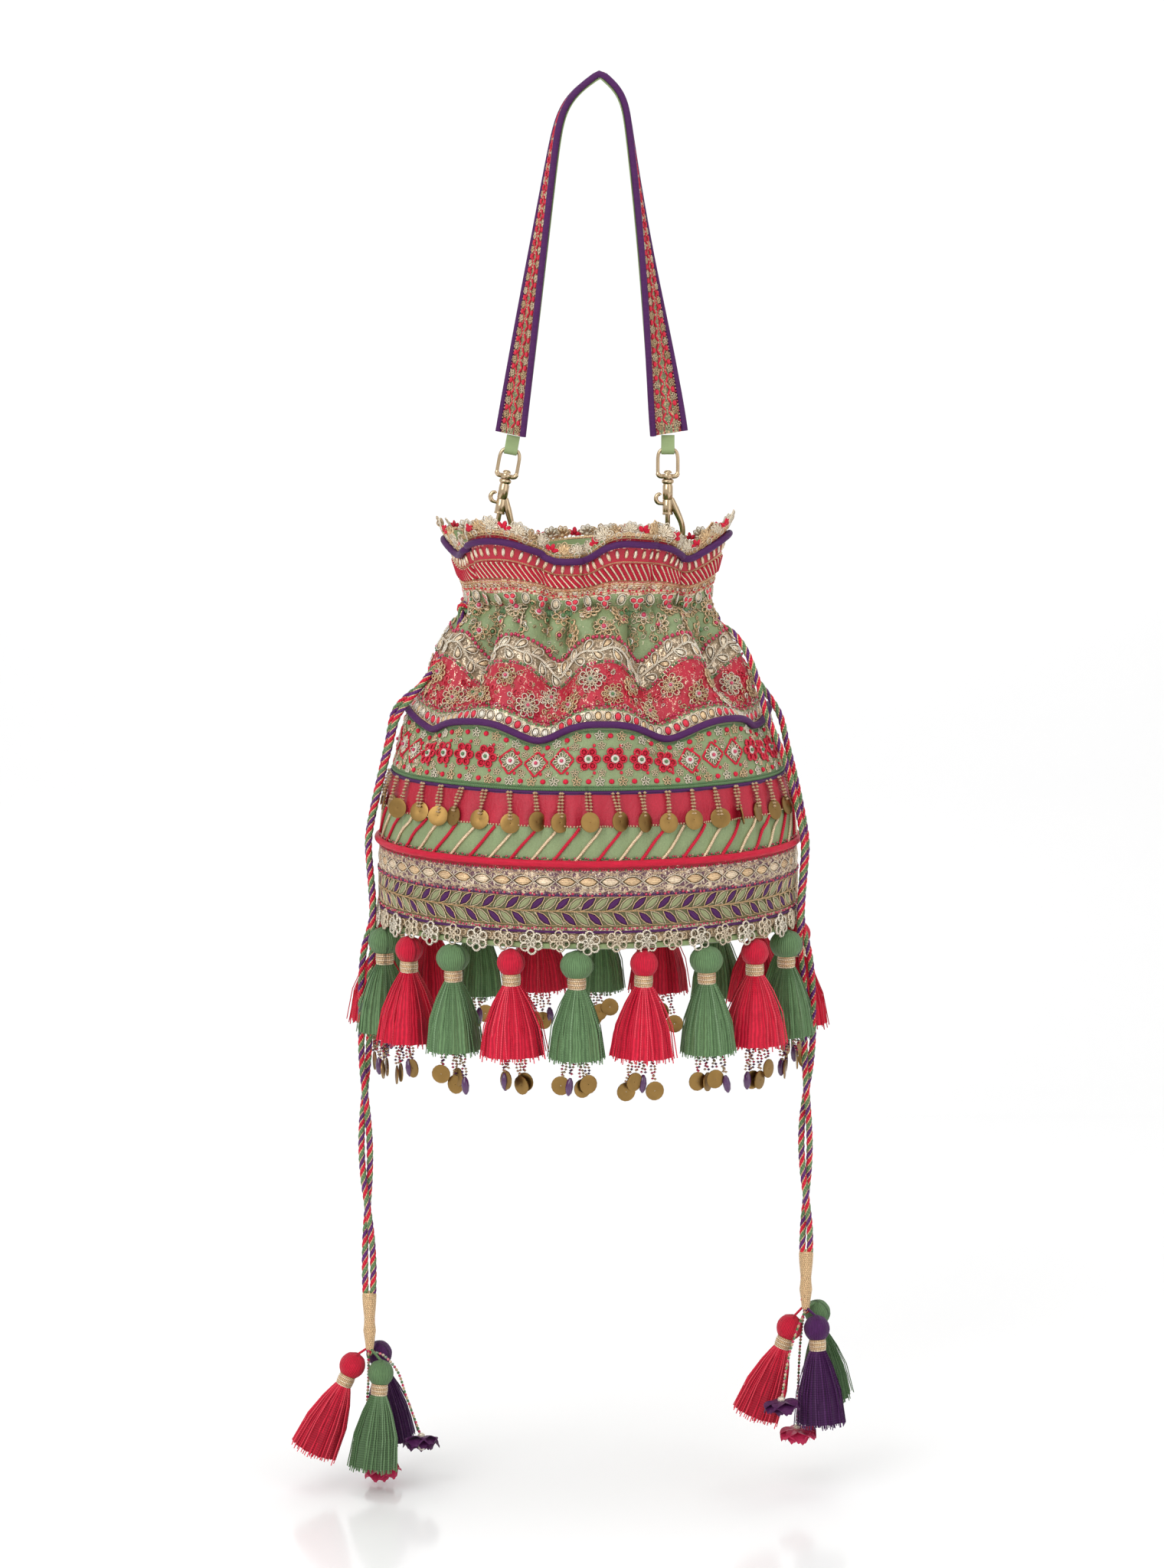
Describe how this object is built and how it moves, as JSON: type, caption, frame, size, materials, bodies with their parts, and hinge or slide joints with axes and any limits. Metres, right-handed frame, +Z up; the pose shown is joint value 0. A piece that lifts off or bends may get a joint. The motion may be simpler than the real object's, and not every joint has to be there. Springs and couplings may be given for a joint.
{
  "type": "drawstring handbag",
  "caption": "Gathered potli pouch with drawcords, coin fringe and tassels, hung from a short strap by two swivel snap hooks.",
  "frame": {"origin": "underside of the strap at its highest point, where a hand or a peg holds the bag", "axes": "+Z up; +X to the right as seen from the front; +Y away from the viewer, through the bag's shallow side"},
  "size_m": [0.2691, 0.1898, 0.6676],
  "materials": {
    "embroidered_silk": "green and pink silk, covered with gold and silver metal thread embroidery in bands",
    "strap_brocade": "pink silk band with gold and silver metal thread embroidery",
    "sage_satin": "plain satin weave, soft sheen",
    "purple_silk": "raw silk, matt",
    "pink_silk": "raw silk, soft sheen",
    "gold_lace": "lace of coiled metal thread, glinting",
    "brass_sequin": "thin stamped discs and small beads, dull shine",
    "gold_metal": "polished light gold plating",
    "pink_thread": "loose rayon thread",
    "green_thread": "loose rayon thread",
    "purple_thread": "loose rayon thread",
    "twisted_cord": "three plies in pink, purple and green with a gold yarn",
    "gold_thread": "metal thread wound close"
  },
  "bodies": {
    "strap": {"strap_band": "strap_brocade", "strap_lining": "sage_satin", "strap_piping_front": "purple_silk", "strap_piping_back": "purple_silk", "left_tab": "sage_satin", "right_tab": "sage_satin", "left_swivel_eye": "gold_metal", "right_swivel_eye": "gold_metal"},
    "left_hook": {"left_hook": "gold_metal", "left_spring": "gold_metal"},
    "left_bolt": {"left_bolt": "gold_metal"},
    "right_hook": {"right_hook": "gold_metal", "right_spring": "gold_metal"},
    "right_bolt": {"right_bolt": "gold_metal"},
    "bag": {"outer_shell": "embroidered_silk", "lining": "sage_satin", "base_panel": "sage_satin", "mouth_piping": "purple_silk", "body_piping": "purple_silk", "hem_piping": "pink_silk", "mouth_lace": "gold_lace", "hem_lace": "gold_lace", "coin_fringe": "brass_sequin", "left_d_ring": "gold_metal", "right_d_ring": "gold_metal", "left_drawcord": "twisted_cord", "right_drawcord": "twisted_cord", "left_binding": "gold_thread", "right_binding": "gold_thread", "left_end_tassel_pink": "pink_thread", "left_end_tassel_green": "green_thread", "left_end_tassel_purple": "purple_thread", "left_end_flower_purple": "purple_silk", "left_end_flower_pink": "pink_silk", "right_end_tassel_pink": "pink_thread", "right_end_tassel_green": "green_thread", "right_end_tassel_purple": "purple_thread", "right_end_flower_purple": "purple_silk", "right_end_flower_pink": "pink_silk", "hem_tassel_01": "green_thread", "hem_tassel_02": "pink_thread", "hem_tassel_03": "green_thread", "hem_tassel_04": "pink_thread", "hem_tassel_05": "green_thread", "hem_tassel_06": "pink_thread", "hem_tassel_07": "green_thread", "hem_tassel_08": "pink_thread", "hem_tassel_09": "green_thread", "hem_tassel_10": "pink_thread", "hem_tassel_11": "green_thread", "hem_tassel_12": "pink_thread", "hem_tassel_13": "green_thread", "hem_tassel_14": "pink_thread", "hem_tassel_15": "green_thread", "hem_tassel_16": "pink_thread", "hem_tassel_17": "green_thread", "hem_tassel_18": "pink_thread", "hem_tassel_19": "green_thread", "hem_tassel_20": "pink_thread"}
  },
  "joints": [
    {"name": "left_swivel", "type": "hinge", "parent": "strap", "child": "left_hook", "pos_m": [-0.04537, 0, -0.19208], "axis": [0.1822, 0, 0.9833], "range_deg": [-20, 20]},
    {"name": "right_swivel", "type": "hinge", "parent": "strap", "child": "right_hook", "pos_m": [0.0316, 0, -0.19234], "axis": [0, 0, 1], "range_deg": [-20, 20]},
    {"name": "left_bolt_slide", "type": "slide", "parent": "left_hook", "child": "left_bolt", "axis": [0.1822, 0, 0.9833], "range_m": [0, 0.0045], "stiffness_N_per_m": 200, "springref_m": -0.005, "deforming": ["left_spring"]},
    {"name": "right_bolt_slide", "type": "slide", "parent": "right_hook", "child": "right_bolt", "axis": [0, 0, 1], "range_m": [0, 0.0045], "stiffness_N_per_m": 200, "springref_m": -0.005, "deforming": ["right_spring"]},
    {"name": "bag_swing", "type": "hinge", "parent": "strap", "child": "bag", "pos_m": [0, 0, -0.21234], "axis": [1, 0, 0], "range_deg": [-15, 15]}
  ]
}
